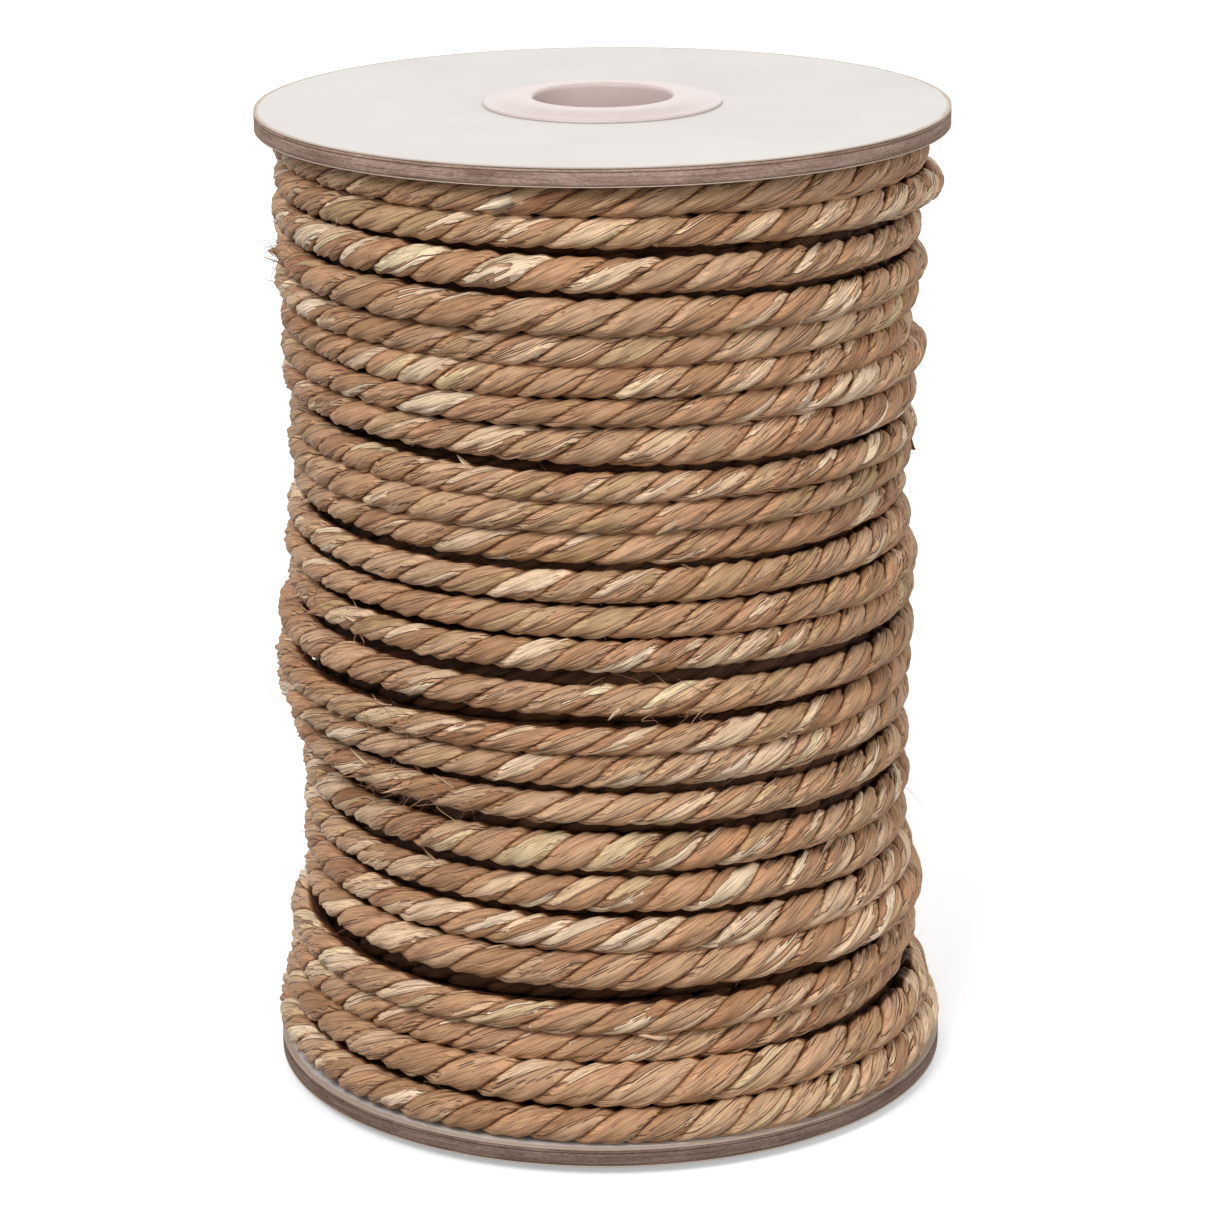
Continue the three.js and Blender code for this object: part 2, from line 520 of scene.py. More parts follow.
def makeOuter():
    rng = np.random.default_rng(31)
    phi, r, z = outerPath()
    per = outerWinding["perTurn"]
    gapAbove = np.concatenate([np.full(per, 9.0), z[:-per] - z[per:]])
    gapBelow = np.concatenate([z[:-per] - z[per:], np.full(per, 9.0)])
    tight = np.minimum(gapAbove, gapBelow)
    tall = soften(np.clip(tight / (cord["diameter"] * 1.03), *outer["flatter"]), 12)
    s, line, (tall, phi, z) = evenSteps(toPoints(phi, r, z), outer["step"], [tall, phi, z])
    rings = len(line)
    columns = outer["columns"]
    plans = [layLeaves(rng, rings - 1, columns, outer["step"]) for _ in range(2)]
    thick = 1 + cord["unevenness"] * swing(rng, rings, 28 / outer["step"])
    thick = thick * (1 + 0.03 * swing(rng, rings, 6 / outer["step"]))
    height, reach, fuller = outer["slack"]
    thick = thick * (1 + fuller * bell(z - height, reach))
    phase = layPhase(rng, s)
    wide = 1 + (1 - tall) * 0.6
    surface = plySurface(rng, line, phase, wide, tall, thick, columns, outer["step"], plans, 1.0)
    cuts = np.linspace(0, rings - 1, outer["runs"] + 1).astype(int)
    for k in range(outer["runs"]):
        a, b = cuts[k], cuts[k + 1]
        ob = plyPiece(f"cord_layer_8_run_{k + 1}", *surface, plans, s, a, b)
        declareRun(ob)
    return {"line": line, "grid": surface[0], "z": z, "phi": phi}


winding = makeOuter()
outerLength = lengthOf(winding["line"])
print(f"outside layer wound, {outerLength * mm:.2f} m, {(innerLength + outerLength) * mm:.1f} m in all")


# torn leaf tips that lift off the cord, loose hairs, and small tangles of both
loose = {
    "tips": 150,
    "flags": 34,
    "hairs": 260,
    "tangles": 16,
    "frays": ((57, -142), (52, -128), (62, -135), (78, -150), (69, -80), (125, -165)),  # height, side
    "frayTips": 12,
    "frayHairs": 26,
    "tangleHairs": 11,
}


class Strips:
    # gathers thin strips and hairs into one mesh
    def __init__(self):
        self.parts = [[] for _ in range(5)]
        self.total = 0

    def add(self, spots, faces, crease, leaf, grain):
        spots[:, 2] = np.maximum(spots[:, 2], 0.4)  # nothing hangs through the floor
        leaf = np.tile(leaf, (faces.size, 1))
        new = (spots, faces + self.total, crease, leaf, grain[faces.reshape(-1)])
        for part, more in zip(self.parts, new):
            part.append(more)
        self.total += len(spots)

    def make(self, name):
        spots, faces, crease, leaf, grain = (np.concatenate(part) for part in self.parts)
        inside = np.zeros(len(crease))
        return makeMesh(name, spots, faces.reshape(-1), np.full(len(faces), 4), crease, inside, leaf, grain)


def stripMesh(spine, across, up, width, thick):
    # a closed flat strip with four points to a ring
    n = len(spine)
    w = width[:, None] / 2 * across
    h = thick[:, None] / 2 * up
    ring = np.stack([spine - w, spine - h * 1.6, spine + w, spine + h], 1)
    faces = quadBands(n, 4)[0].reshape(-1, 4)
    caps = np.array([[3, 2, 1, 0], [n * 4 - 4, n * 4 - 3, n * 4 - 2, n * 4 - 1]])
    return ring.reshape(-1, 3), np.concatenate([faces, caps])


def shellSpot(rng, ring):
    # a place on the outside of the cord, with the way its leaf runs and the way off it
    grid = winding["grid"]
    ply = int(rng.integers(0, 2))
    ring = int(np.clip(ring, 2, len(winding["line"]) - 12))
    middle = winding["line"][ring]
    away = grid[ply][ring] - middle
    out = middle * np.array([1.0, 1.0, 0.0])
    out /= np.linalg.norm(out)
    facing = away @ out
    choice = np.argsort(-facing)[: 2 + len(facing) // 4]
    column = int(rng.choice(choice))
    spot = grid[ply][ring][column]
    run = grid[ply][ring + 6][column] - spot
    run /= np.linalg.norm(run)
    off = spot - middle
    off /= np.linalg.norm(off)
    return spot, run, off


def ringNear(height, side):
    gap = np.abs(sideGap(np.degrees(winding["phi"]), side)) * 0.8
    return int(np.argmin(np.abs(winding["z"] - height) + gap))


def addTip(rng, strips, ring, length, width, lift, tone):
    spot, run, off = shellSpot(rng, ring)
    n = 8
    u = np.linspace(0, 1, n)
    way = 1 if rng.random() < 0.7 else -1
    curl = rng.uniform(-0.5, 0.5)
    across = np.cross(off, run)
    spine = spot - off * 0.12 + way * run * (u * length)[:, None]
    spine = spine + off * (lift * u**1.8)[:, None] + across * (curl * length * 0.3 * u**2)[:, None]
    tilt = across + off * (rng.uniform(-0.5, 0.5) * u)[:, None]
    tilt /= np.linalg.norm(tilt, axis=1)[:, None]
    wide = width * np.clip((1 - u) / 0.55, 0.05, 1) ** 0.8
    spots, faces = stripMesh(spine, tilt, off, wide, np.full(n, 0.16))
    grain = np.stack([np.tile([0, 0.5, 1, 0.5], n) * width, np.repeat(u * length, 4)], 1)
    grain = grain + rng.uniform(0, 400, 2)
    crease = np.tile([0.2, 0.0, 0.2, 0.0], n)
    strips.add(spots, faces, crease, [tone, rng.uniform(0.4, 0.7), rng.random(), 1], grain)


def addHair(rng, strips, ring, length, width, lift, tone):
    spot, run, off = shellSpot(rng, ring)
    n = 9
    u = np.linspace(0, 1, n)
    across = np.cross(off, run)
    heading = run * rng.choice([-1, 1]) + across * rng.normal(0, 0.7) + off * abs(rng.normal(0, lift))
    heading /= np.linalg.norm(heading)
    bend = across * rng.normal(0, 0.8) - off * abs(rng.normal(0, 0.3)) + np.array([0, 0, -0.2])
    twist = run * rng.normal(0, 0.5)
    spine = spot - off * 0.1 + heading * (u * length)[:, None] + bend * (length * 0.5 * u**2)[:, None]
    spine = spine + twist * (length * 0.3 * np.sin(u * 5))[:, None]
    # hairs lie on the roll or stand off it, they don't go into it
    flat = np.hypot(spine[:, 0], spine[:, 1])
    floor = np.hypot(spot[0], spot[1]) - 0.3
    push = np.maximum(0, floor - flat) / flat
    spine[:, :2] *= (1 + push)[:, None]
    wide = width * (1 - 0.7 * u)
    spots, faces = stripMesh(spine, across, off, wide, wide * 0.7)
    grain = np.stack([np.tile([0, 0.1, 0.2, 0.1], n), np.repeat(u * length, 4)], 1)
    strips.add(spots, faces, np.zeros(n * 4), [tone, rng.uniform(0.3, 0.7), rng.random(), 1], grain)


def draws(rng, *ranges):
    return [rng.uniform(*ends) for ends in ranges]


def makeLoose():
    rng = np.random.default_rng(77)
    rings = len(winding["line"])
    tips = Strips()
    hairs = Strips()
    for _ in range(loose["tips"]):
        tone = rng.choice([0.95, 0.85, 0.5, 0.45, 0.15], p=[0.3, 0.2, 0.25, 0.15, 0.1])
        ring = rng.integers(4, rings - 14)
        addTip(rng, tips, ring, *draws(rng, (1.5, 4.5), (0.4, 1.3), (0.05, 0.6)), tone)
    for _ in range(loose["flags"]):
        # broad torn leaf ends, mostly pale
        ring = rng.integers(4, rings - 14)
        tone = rng.choice([1.0, 0.85, 0.45], p=[0.45, 0.35, 0.2])
        addTip(rng, tips, ring, *draws(rng, (2.5, 5.5), (1.3, 2.4), (0.15, 1.0)), tone)
    for height, side in loose["frays"]:
        ring = ringNear(height, side)
        for _ in range(loose["frayTips"]):
            near = ring + rng.integers(-14, 14)
            tone = rng.uniform(0.1, 0.9)
            addTip(rng, tips, near, *draws(rng, (1.5, 4), (0.3, 1.2), (0.2, 0.9)), tone)
        for _ in range(loose["frayHairs"]):
            near = ring + rng.integers(-14, 14)
            tone = rng.uniform(0.0, 0.6)
            addHair(rng, hairs, near, *draws(rng, (2, 7), (0.1, 0.24)), 0.4, tone)
    for _ in range(loose["hairs"]):
        ring = rng.integers(4, rings - 14)
        length = rng.uniform(1.5, 5) if rng.random() < 0.85 else rng.uniform(5, 10)
        width, tone = draws(rng, (0.06, 0.14), (0.05, 1.0))
        addHair(rng, hairs, ring, length, width, 0.25, tone)
    for _ in range(loose["tangles"]):
        ring = rng.integers(20, rings - 30)
        for _ in range(loose["tangleHairs"]):
            near = ring + rng.integers(-5, 5)
            length, width, tone = draws(rng, (0.8, 2.6), (0.07, 0.16), (0.0, 0.6))
            addHair(rng, hairs, near, length, width, 0.5, tone)
    made = [tips.make("cord_leaf_tips"), hairs.make("cord_loose_hairs")]
    for ob in made:
        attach(ob, "root")
        cordPieces.append(ob)


makeLoose()
print("leaf tips and hairs added")


def clearSelection():
    if bpy.context.object and bpy.context.object.mode != "OBJECT":
        bpy.ops.object.mode_set(mode="OBJECT")
    bpy.ops.object.select_all(action="DESELECT")


def faceOutward():
    bpy.ops.mesh.select_all(action="SELECT")
    bpy.ops.mesh.normals_make_consistent(inside=False)
    bpy.ops.object.mode_set(mode="OBJECT")


def turned(name, profile, segments):
    # a ring drawn out loop by loop along a closed profile of (radius, height) in metres
    clearSelection()
    r, z = profile[0]
    bpy.ops.mesh.primitive_circle_add(vertices=segments, radius=r, fill_type="NOTHING", location=(0, 0, 0))
    ob = bpy.context.object
    ob.name = name
    bpy.ops.object.mode_set(mode="EDIT")
    bpy.ops.mesh.select_all(action="SELECT")
    bpy.ops.transform.translate(value=(0, 0, z))
    for nextR, nextZ in profile[1:] + profile[:1]:
        bpy.ops.mesh.extrude_region_move(TRANSFORM_OT_translate={"value": (0, 0, nextZ - z)})
        grow = nextR / r
        bpy.ops.transform.resize(value=(grow, grow, 1), center_override=(0, 0, nextZ))
        r, z = nextR, nextZ
    bpy.ops.mesh.select_all(action="SELECT")
    bpy.ops.mesh.remove_doubles(threshold=1e-6)
    faceOutward()
    bpy.ops.object.shade_smooth_by_angle(angle=math.radians(40))
    ob.data.name = name
    return ob


def corner(r, z, size, fromAngle, steps=3):
    # points round a quarter circle about (r, z), from an angle in degrees, turning left
    return [
        (
            r + size * math.cos(math.radians(fromAngle + 90 * k / steps)),
            z + size * math.sin(math.radians(fromAngle + 90 * k / steps)),
        )
        for k in range(steps + 1)
    ]


def plateProfile(inner, outer, low, high, round, steps):
    # the section of a flat ring with worn edges, going round it from the lower outer edge
    points = corner(outer - round, low + round, round, -90)
    points += corner(outer - round, high - round, round, 0)
    across = np.linspace(outer - round, inner + round, steps + 2)[1:-1]
    points += [(r, high) for r in across]
    points += corner(inner + round, high - round, round, 90)
    points += corner(inner + round, low + round, round, 180)
    points += [(r, low) for r in across[::-1]]
    return points


def roughen(ob, size, strength, seed):
    # slight dents that follow a cloud pattern, pressed into the mesh itself
    clearSelection()
    bpy.context.view_layer.objects.active = ob
    ob.select_set(True)
    clouds = bpy.data.textures.new(ob.name + "_dents", "CLOUDS")
    clouds.noise_scale = size
    clouds.noise_depth = 3
    shift = addObject("shift", None)
    shift.location = (seed * 0.37, seed * 0.11, seed * 0.23)
    bpy.context.view_layer.update()
    mod = ob.modifiers.new("dents", "DISPLACE")
    mod.texture = clouds
    mod.texture_coords = "OBJECT"
    mod.texture_coords_object = shift
    mod.strength = strength
    bpy.ops.object.modifier_apply(modifier="dents")
    bpy.data.objects.remove(shift)
    bpy.data.textures.remove(clouds)


flange = {
    "edgeRound": 0.35,  # mm
    "paperRound": 0.05,
    "dentSize": 0.006,  # m
    "dentDepth": 0.00012,
    "segments": 256,
    "across": 10,
}


def makeFlange(side):
    made = []
    for part, slot, round in (
        ("board", "greyboard", flange["edgeRound"]),
        ("face_paper", "white_paper", flange["paperRound"]),
        ("inner_paper", "white_paper", flange["paperRound"]),
    ):
        node = f"{side}_flange_{part}"
        low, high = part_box(node)
        outer = halfWidth((low, high))
        profile = plateProfile(tubeBore, outer, low[2], high[2], round * mm, flange["across"])
        ob = turned(f"{side}_{part}", profile, flange["segments"])
        if part == "board":
            roughen(ob, flange["dentSize"], flange["dentDepth"], 1 if side == "top" else 2)
        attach(ob, "root")
        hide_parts(node)
        made.append(ob)
    return made


topBoard, topPaper, topInner = makeFlange("top")
bottomBoard, bottomPaper, bottomInner = makeFlange("bottom")
print("flanges turned")

# sizes in mm
bush = {
    "plate": 1.4,
    "rim": 0.45,
    "slope": 4.2,
    "slopeSteps": 7,
    "edge": 0.15,
    "lipRound": 0.6,
    "lipDrop": 0.25,
    "sleeveWall": 1.8,
    "sleeveRoom": 0.2,
    "leadIn": 1.0,
    "segments": 128,
}


def makeBush(node, name, upwards):
    # a thin collar on the flange and a sleeve that goes down into the tube
    low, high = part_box(node)
    outer = halfWidth((low, high))
    sleeve = tubeBore - bush["sleeveRoom"] * mm
    bore = sleeve - bush["sleeveWall"] * mm
    plate = bush["plate"] * mm
    lip = bush["lipRound"] * mm
    rim = bush["rim"] * mm
    edge = rim * 0.6
    worn = bush["edge"] * mm
    lead = bush["leadIn"] * mm
    # drawn with the collar on top, then measured downwards for the other end
    top = high[2] if upwards else -low[2]
    bottom = low[2] if upwards else -high[2]
    under = top - plate
    halfway = (under + bottom) / 2
    points = [(sleeve - lead * 0.5, bottom), (sleeve, bottom + lead), (sleeve, halfway), (sleeve, under)]
    points += [(outer - worn, under), (outer, under + worn)]
    points += corner(outer - edge, under + rim - edge, edge, 0, 4)
    # from a thin rim the collar rises softly to the lip
    high = top - bush["lipDrop"] * mm
    rise = high - under - rim
    for k in range(1, bush["slopeSteps"] + 1):
        part = k / bush["slopeSteps"]
        swellUp = part * part * (3 - 2 * part)
        points.append((outer - edge - bush["slope"] * mm * part, high - rise * (1 - swellUp)))
    points += corner(bore + lip, high - lip, lip, 90, 5)
    points += [(bore, halfway), (bore, bottom + 0.4 * mm), (bore + 0.3 * mm, bottom)]
    if not upwards:
        points = [(r, -z) for r, z in points]
    ob = turned(name, points, bush["segments"])
    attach(ob, "root")
    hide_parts(node)
    return ob


upperBush = makeBush("upper_hub_bush", "upper_bush", True)
lowerBush = makeBush("lower_hub_bush", "lower_bush", False)
print("bushes turned")


tube = {"edgeRound": 0.2, "segments": 96}


def makeTube():
    low, high = tubeBox
    profile = plateProfile(tubeBore, tubeRadius, low[2], high[2], tube["edgeRound"] * mm, 2)
    ob = turned("core_tube", profile, tube["segments"])
    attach(ob, "root")
    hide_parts("winding_tube")
    return ob


coreTube = makeTube()

# sizes in mm
tape = {"length": 30, "thick": 0.15, "offTube": 0.1, "across": 8, "along": 24}


def makeTape():
    # a short strip bent round the tube over the start of the cord
    low, high = tapeBox
    clearSelection()
    bpy.ops.mesh.primitive_grid_add(x_subdivisions=tape["along"], y_subdivisions=tape["across"], size=1)
    ob = bpy.context.object
    ob.name = "starting_tape"
    ob.data.name = "starting_tape"
    inner = tubeRadius + tape["offTube"] * mm
    length = tape["length"] * mm
    for v in ob.data.vertices:
        turn = v.co.x * length / inner
        height = low[2] + (v.co.y + 0.5) * (high[2] - low[2])
        v.co = Vector((inner * math.cos(turn), inner * math.sin(turn), height))
    thick = ob.modifiers.new("thick", "SOLIDIFY")
    thick.thickness = tape["thick"] * mm
    thick.offset = 1
    bpy.ops.object.modifier_apply(modifier="thick")
    bpy.ops.object.mode_set(mode="EDIT")
    faceOutward()
    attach(ob, "root")
    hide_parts("start_tape")
    return ob


startTape = makeTape()
print("core tube and tape made")


# finishes
def linear(color):
    # a colour given as 0 to 255, in the light's own scale
    parts = (c / 255 for c in color)
    return (*(c / 12.92 if c <= 0.04045 else ((c + 0.055) / 1.055) ** 2.4 for c in parts), 1)


class Tree:
    # the nodes of a material or of the world, with short ways to add to them
    def __init__(self, owner, end):
        owner.use_nodes = True
        self.nodes = owner.node_tree.nodes
        self.links = owner.node_tree.links
        self.end = self.nodes[end]

    def node(self, kind, **settings):
        made = self.nodes.new("ShaderNode" + kind)
        for key, value in settings.items():
            setattr(made, key, value)
        return made

    def feed(self, socket, value):
        if isinstance(value, (int, float, tuple)):
            socket.default_value = value
        else:
            self.links.new(value, socket)

    def put(self, name, value):
        self.feed(self.end.inputs[name], value)

    def surface(self, color, rough, normal, specular=0.5):
        self.put("Base Color", color)
        self.put("Roughness", rough)
        self.put("Normal", normal)
        self.put("Specular IOR Level", specular)

    def place(self):
        return self.node("TexCoord").outputs["Object"]

    def split(self, vector):
        made = self.node("SeparateXYZ")
        self.feed(made.inputs[0], vector)
        return made.outputs

    def maths(self, kind, a, b=None, clamp=False):
        made = self.node("Math", operation=kind, use_clamp=clamp)
        self.feed(made.inputs[0], a)
        if b is not None:
            self.feed(made.inputs[1], b)
        return made.outputs[0]

    def scaled(self, value, factor, added):
        return self.maths("ADD", self.maths("MULTIPLY", value, factor), added)

    def spread(self, value, middle, factor):
        return self.maths("MULTIPLY", self.maths("SUBTRACT", value, middle), factor)

    def mixed(self, kind, amount, a, b):
        made = self.node("Mix", data_type="RGBA", blend_type=kind)
        for k, value in ((0, amount), (6, a), (7, b)):
            self.feed(made.inputs[k], value)
        return made.outputs[2]

    def multiplied(self, a, b, amount=1.0):
        return self.mixed("MULTIPLY", amount, a, b)

    def over(self, under, amount, color):
        return self.mixed("MIX", amount, under, linear(color))

    def ramp(self, value, *stops):
        # each stop is a place and a colour, or a place and a grey
        made = self.node("ValToRGB")
        points = made.color_ramp.elements
        while len(points) < len(stops):
            points.new(0.5)
        for point, (place, color) in zip(points, stops):
            point.position = place
            color = color if isinstance(color, tuple) else (color, color, color)
            point.color = (*color[:3], 1)
        self.feed(made.inputs[0], value)
        return made.outputs[0]

    def remap(self, value, fromMin, fromMax, toMin=0.0, toMax=1.0):
        made = self.node("MapRange")
        for k, number in enumerate((fromMin, fromMax, toMin, toMax)):
            made.inputs[k + 1].default_value = number
        self.feed(made.inputs["Value"], value)
        return made.outputs[0]

    def noise(self, vector, scale, detail=3, roughness=0.55):
        # three scales stretch the pattern along the axes
        if isinstance(scale, tuple):
            stretch = self.node("Mapping")
            stretch.inputs["Scale"].default_value = scale
            self.feed(stretch.inputs["Vector"], vector)
            vector = stretch.outputs["Vector"]
            scale = 1.0
        made = self.node("TexNoise")
        for key, value in zip(("Vector", "Scale", "Detail", "Roughness"), (vector, scale, detail, roughness)):
            self.feed(made.inputs[key], value)
        return made.outputs["Fac"]

    def bump(self, height, strength, distance, under=None):
        made = self.node("Bump")
        self.feed(made.inputs["Strength"], strength)
        self.feed(made.inputs["Distance"], distance)
        self.feed(made.inputs["Height"], height)
        if under is not None:
            self.feed(made.inputs["Normal"], under)
        return made.outputs["Normal"]


def newMaterial(name):
    mat = bpy.data.materials.new(name)
    return mat, Tree(mat, "Principled BSDF")


seagrass = {
    "tones": (
        (0.0, (178, 127, 93)), (0.12, (190, 144, 110)), (0.25, (199, 156, 122)),
        (0.4, (208, 169, 134)), (0.5, (214, 177, 143)), (0.62, (221, 186, 152)),
        (0.76, (234, 201, 167)), (0.88, (247, 217, 184)), (1.0, (254, 233, 206)),
    ),
    # the seed picks a tint for some leaves: rusty at one end, dry green at the other
    "tints": ((0.0, (1.0, 0.9, 0.82)), (0.14, 1.0), (0.8, 1.0), (0.92, (0.93, 0.97, 0.87))),
    "brightness": ((0.0, (0.68, 0.62, 0.56)), (1.0, 1.2)),
    "streaks": ((0.3, (0.42, 0.29, 0.18)), (0.46, (0.92, 0.9, 0.88)), (0.68, (1.36, 1.34, 1.31))),
    # painted shade: inside the roll and between the plies the leaf is painted dark
    "paintedShade": ((0.3, 1.0), (0.58, (0.48, 0.34, 0.21)), (0.88, (0.11, 0.048, 0.015))),
    # painted shade in the creases between leaves
    "crease": (64, 30, 11),
    "line": (110, 62, 32),
}


def seagrassMaterial():
    mat, tree = newMaterial("seagrass")
    leaf, crease, inner = (
        tree.node("Attribute", attribute_name=name).outputs
        for name in ("leaf", "crease", "inside")
    )
    grain = tree.node("UVMap", uv_map="grain").outputs[0]
    parts = tree.node("SeparateColor")
    tree.feed(parts.inputs[0], leaf["Color"])
    tone, light, seed = parts.outputs
    # the leaf's own seed shifts the grain, so that no two leaves carry the same lines
    spot = tree.node("CombineXYZ")
    tree.feed(spot.inputs[2], tree.maths("MULTIPLY", seed, 90.0))
    place = tree.node("VectorMath", operation="ADD")
    tree.feed(place.inputs[0], grain)
    tree.feed(place.inputs[1], spot.outputs[0])
    place = place.outputs[0]
    fine = tree.noise(place, (5.6, 0.14, 1), 4, 0.72)
    broad = tree.noise(place, (1.5, 0.07, 1), 3, 0.6)
    patchy = tree.noise(place, (0.5, 0.25, 1), 3, 0.6)
    # tone wanders a little inside each leaf
    toned = tree.maths("ADD", tone, tree.spread(patchy, 0.5, 0.24), True)
    color = tree.ramp(toned, *((p, linear(c)) for p, c in seagrass["tones"]))
    color = tree.multiplied(color, tree.ramp(seed, *seagrass["tints"]))
    color = tree.multiplied(color, tree.ramp(light, *seagrass["brightness"]))
    color = tree.multiplied(color, tree.ramp(fine, *seagrass["streaks"]), 0.9)
    # thin dark lines where the blade is folded along its length
    level = tree.maths("ABSOLUTE", tree.maths("SUBTRACT", broad, 0.47))
    color = tree.over(color, tree.ramp(level, (0.004, 0.68), (0.022, 0)), seagrass["line"])
    # and painted shade in the gaps where one leaf ends against the next, kept thin on the line between two
    # columns
    column = tree.maths("MULTIPLY", tree.split(grain)[0], grainLine["columns"] / grainLine["round"])
    off = tree.maths("ADD", tree.maths("PINGPONG", column, 0.5), tree.spread(fine, 0.5, 0.3))
    edge = tree.ramp(crease["Fac"], (0.3, 0), (0.8, 0.95))
    edge = tree.maths("MULTIPLY", edge, tree.ramp(off, (0.1, 1), (0.28, 0)))
    color = tree.over(color, edge, seagrass["crease"])
    # painted shade, darkest where the inside map is highest
    color = tree.multiplied(color, tree.ramp(inner["Fac"], *seagrass["paintedShade"]))
    ridges = tree.bump(broad, 0.8, 0.0005, tree.bump(fine, 0.8, 0.00025))
    tree.surface(color, tree.scaled(fine, 0.25, 0.42), ridges, 0.35)
    return mat


paper = {
    "color": (214, 209, 205),
    "shade": (209, 203, 198),
    "worn": (184, 166, 150),
    "wornWide": 0.0004,  # m
    "ragged": 0.0011,
}


def paperMaterial(name, wornAt):
    # smooth coated paper: faint clouding, fine fibres, and a rubbed edge at the rim
    mat, tree = newMaterial(name)
    place = tree.place()
    cloud = tree.noise(place, 45, 4)
    fibre = tree.noise(place, (2600, 900, 2600), 4)
    speck = tree.noise(place, 900, 2, 0.6)
    ragged = tree.noise(place, 260, 4, 0.7)
    color = tree.ramp(cloud, (0.35, linear(paper["shade"])), (0.6, linear(paper["color"])))
    color = tree.over(color, tree.ramp(speck, (0.74, 0), (0.8, 0.4)), paper["worn"])
    flat = tree.node("VectorMath", operation="MULTIPLY")
    flat.inputs[1].default_value = (1, 1, 0)
    tree.feed(flat.inputs[0], place)
    length = tree.node("VectorMath", operation="LENGTH")
    tree.feed(length.inputs[0], flat.outputs[0])
    reach = tree.scaled(ragged, paper["ragged"], length.outputs["Value"])
    rim = tree.remap(reach, wornAt, wornAt + paper["wornWide"])
    color = tree.over(color, rim, paper["worn"])
    tree.surface(color, 0.62, tree.bump(fibre, 0.12, 0.00003), 0.3)
    return mat


greyboard = {
    "light": (184, 157, 142),
    "dark": (138, 110, 96),
    "line": (92, 66, 54),
    "seamUnderPaper": 0.45,  # mm
    # painted shade: each board's finish is multiplied by its factor, and the bottom one is painted darker
    "topPaintedShade": 1.0,
    "bottomPaintedShade": 0.62,
}


def greyboardMaterial(name, boardBox, shade):
    # pressed grey pulp: layers seen at the cut edge, threads and flecks, one dark line under the paper
    mat, tree = newMaterial(name)
    place = tree.place()
    layer = tree.noise(place, (90, 90, 2600), 4, 0.6)
    cloud = tree.noise(place, 160, 4)
    thread = tree.noise(place, (240, 240, 5200), 3, 0.6)
    pulp = tree.noise(place, (1500, 1500, 3600), 2, 0.7)
    blend = tree.scaled(layer, 0.7, tree.maths("MULTIPLY", cloud, 0.3))
    color = tree.ramp(blend, (0.36, linear(greyboard["dark"])), (0.6, linear(greyboard["light"])))
    color = tree.over(color, tree.ramp(thread, (0.3, 0.8), (0.38, 0)), greyboard["line"])
    seamAt = boardBox[1][2] - greyboard["seamUnderPaper"] * mm
    height = tree.scaled(cloud, 0.0002, tree.split(place)[2])
    away = tree.maths("ABSOLUTE", tree.spread(height, seamAt + 0.0001, 1000.0))
    color = tree.over(color, tree.ramp(away, (0.05, 0.8), (0.14, 0)), greyboard["line"])
    # the pulp mottles the board, and the shade factor paints the bottom board darker as painted shade
    color = tree.multiplied(color, tree.ramp(pulp, (0.32, shade * 0.72), (0.66, shade * 1.16)))
    dents = tree.bump(pulp, 0.4, 0.0001, tree.bump(blend, 0.5, 0.00015))
    tree.surface(color, 0.85, dents, 0.2)
    return mat


plastic = {"color": (200, 183, 179), "warm": (195, 178, 173), "radius": (0.004, 0.0028, 0.0024)}


def plasticMaterial():
    # moulded white plastic, a little see-through, with faint flow marks
    mat, tree = newMaterial("white_plastic")
    place = tree.place()
    cloud = tree.noise(place, 120, 3)
    grain = tree.noise(place, 3200, 2)
    color = tree.ramp(cloud, (0.35, linear(plastic["warm"])), (0.62, linear(plastic["color"])))
    tree.surface(color, tree.scaled(cloud, 0.16, 0.28), tree.bump(grain, 0.06, 0.00003), 0.25)
    tree.put("Subsurface Weight", 0.25)
    tree.put("Subsurface Radius", plastic["radius"])
    tree.put("Subsurface Scale", 0.6)
    return mat


kraft = {"light": (176, 140, 102), "dark": (138, 104, 72), "line": (96, 70, 48), "slant": 22.0}


def kraftMaterial():
    # brown wound paper with the seam of its strip running round at a slant
    mat, tree = newMaterial("kraft_tube")
    place = tree.place()
    fibre = tree.noise(place, (500, 500, 1500), 4)
    color = tree.ramp(fibre, (0.35, linear(kraft["dark"])), (0.65, linear(kraft["light"])))
    x, y, z = tree.split(place)
    climb = tree.maths("MULTIPLY", z, kraft["slant"])
    turn = tree.scaled(tree.maths("ARCTAN2", y, x), 1 / (2 * math.pi), climb)
    line = tree.ramp(tree.maths("FRACT", turn), (0.0, 1), (0.02, 0))
    tree.surface(tree.over(color, line, kraft["line"]), 0.8, tree.bump(fibre, 0.3, 0.0001))
    return mat


crepe = {"light": (230, 216, 180), "dark": (206, 188, 148)}


def tapeMaterial():
    # crepe paper tape, cream, with ripples across it
    mat, tree = newMaterial("paper_tape")
    ripple = tree.noise(tree.place(), (250, 250, 2400), 4)
    color = tree.ramp(ripple, (0.35, linear(crepe["dark"])), (0.65, linear(crepe["light"])))
    tree.surface(color, 0.6, tree.bump(ripple, 0.5, 0.0001))
    return mat


def dress(mat, *pieces):
    for ob in pieces:
        ob.data.materials.clear()
        ob.data.materials.append(mat)


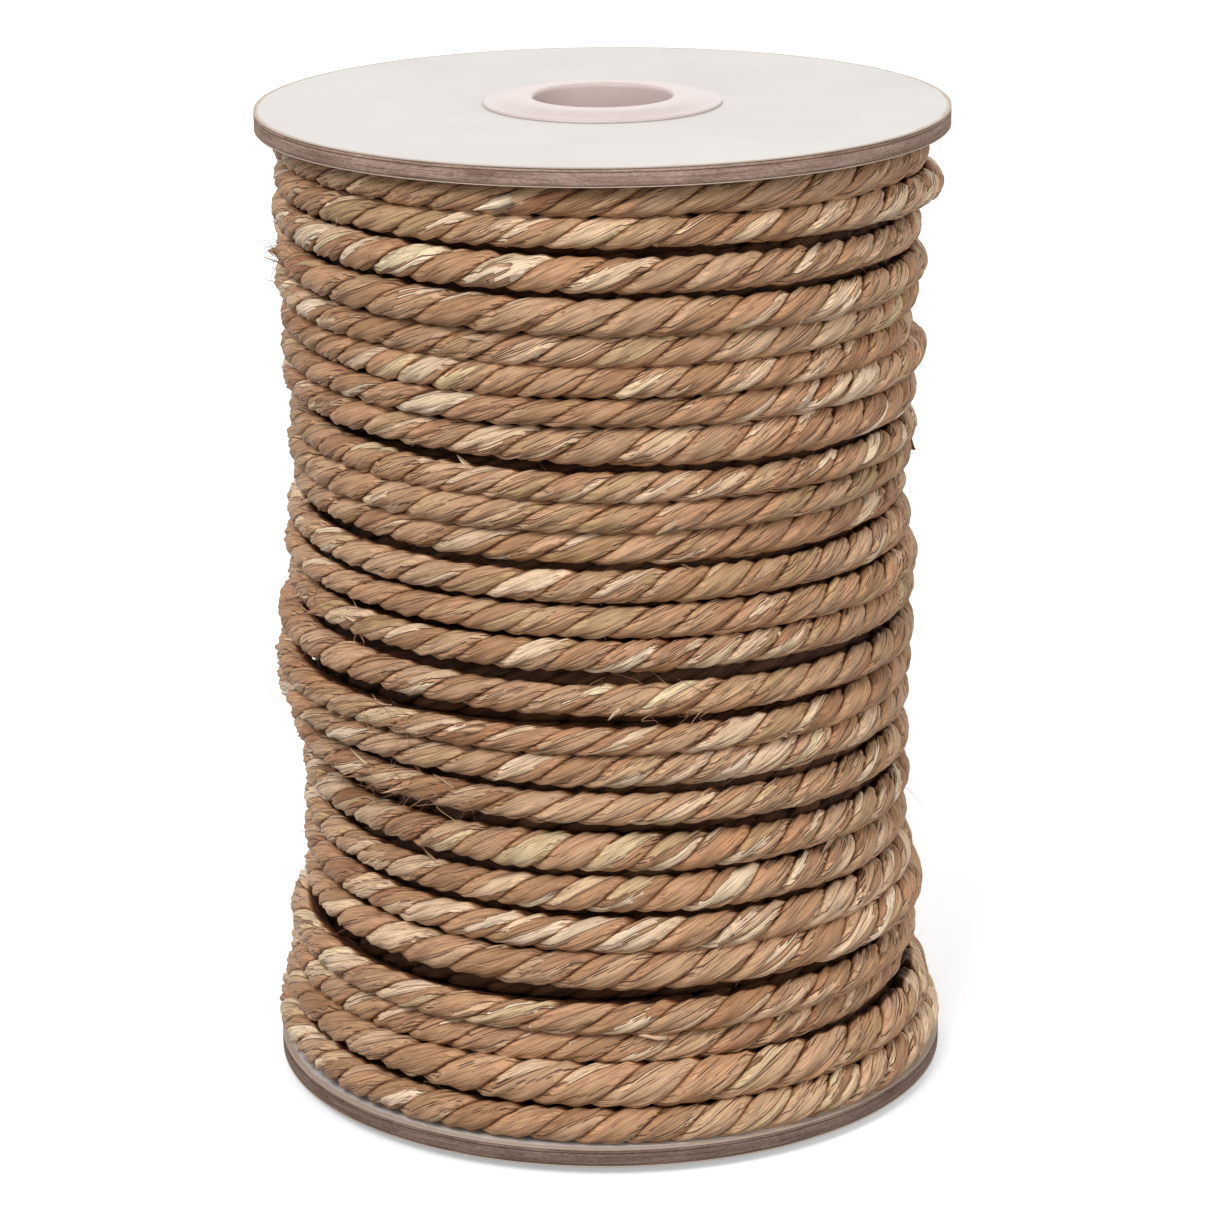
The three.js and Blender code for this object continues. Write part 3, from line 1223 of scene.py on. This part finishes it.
dress(seagrassMaterial(), *cordPieces)
dress(paperMaterial("face_paper", rimRadius - 0.2 * mm), topPaper, bottomPaper)
dress(paperMaterial("inner_paper", rimRadius - 0.6 * mm), topInner, bottomInner)
dress(greyboardMaterial("greyboard_top", boardTop, greyboard["topPaintedShade"]), topBoard)
# a darker copy of the same finish for the bottom board: painted shade
dress(greyboardMaterial("greyboard_bottom_painted_shade", boardBottom, greyboard["bottomPaintedShade"]), bottomBoard)
dress(plasticMaterial(), upperBush, lowerBush)
dress(kraftMaterial(), coreTube)
dress(tapeMaterial(), startTape)
print("finishes given")

studio = {
    "floor": (242, 242, 242),
    "floorShade": (240, 240, 240),
    "floorGlow": 0.34,
    "skyline": 1.0,
    "sky": 0.56,
    "below": 0.05,
    "fade": (0.18, 0.4),  # where the skyline's light gives way to the sky's
    "aim": (0, 0, 0.07),
    "lights": (
        # name, place, size, watts
        ("key", (-0.42, -0.85, 0.95), 0.5, 9.5),
        ("fill", (0.85, -0.75, 0.55), 0.8, 3.8),
        ("back", (0.1, 0.9, 0.6), 0.8, 2.6),
    ),
}


def makeFloor():
    clearSelection()
    bpy.ops.mesh.primitive_plane_add(size=12, location=(0, 0, 0))
    floor = bpy.context.object
    floor.name = "floor"
    mat, tree = newMaterial("studio_floor")
    cloud = tree.noise(tree.place(), 3, 2)
    color = tree.ramp(cloud, (0.3, linear(studio["floorShade"])), (0.7, linear(studio["floor"])))
    tree.put("Base Color", color)
    tree.put("Roughness", 0.9)
    tree.put("Emission Color", (1, 1, 1, 1))
    tree.put("Emission Strength", studio["floorGlow"])
    dress(mat, floor)
    floor.visible_diffuse = False  # the floor throws no light back up under the cords


def makeSky():
    # a white sky, brightest low down, and next to nothing from under the floor
    world = bpy.data.worlds.new("studio")
    bpy.context.scene.world = world
    tree = Tree(world, "Background")
    below = studio["below"]
    height = tree.split(tree.node("TexCoord").outputs["Generated"])[2]
    above = tree.maths("GREATER_THAN", height, -0.02)
    fade = tree.remap(height, *studio["fade"], studio["skyline"] - below, studio["sky"] - below)
    tree.put("Strength", tree.maths("ADD", tree.maths("MULTIPLY", above, fade), below))
    tree.put("Color", (1, 1, 1, 1))


def makeLights():
    for name, place, size, watts in studio["lights"]:
        data = bpy.data.lights.new(name, "AREA")
        data.energy = watts
        data.size = size
        ob = addObject(name, data)
        ob.location = place
        aim = Vector(studio["aim"]) - Vector(place)
        ob.rotation_euler = aim.to_track_quat("-Z", "Y").to_euler()


makeFloor()
makeSky()
makeLights()
bpy.context.scene.view_settings.view_transform = "Standard"
print("studio lit")
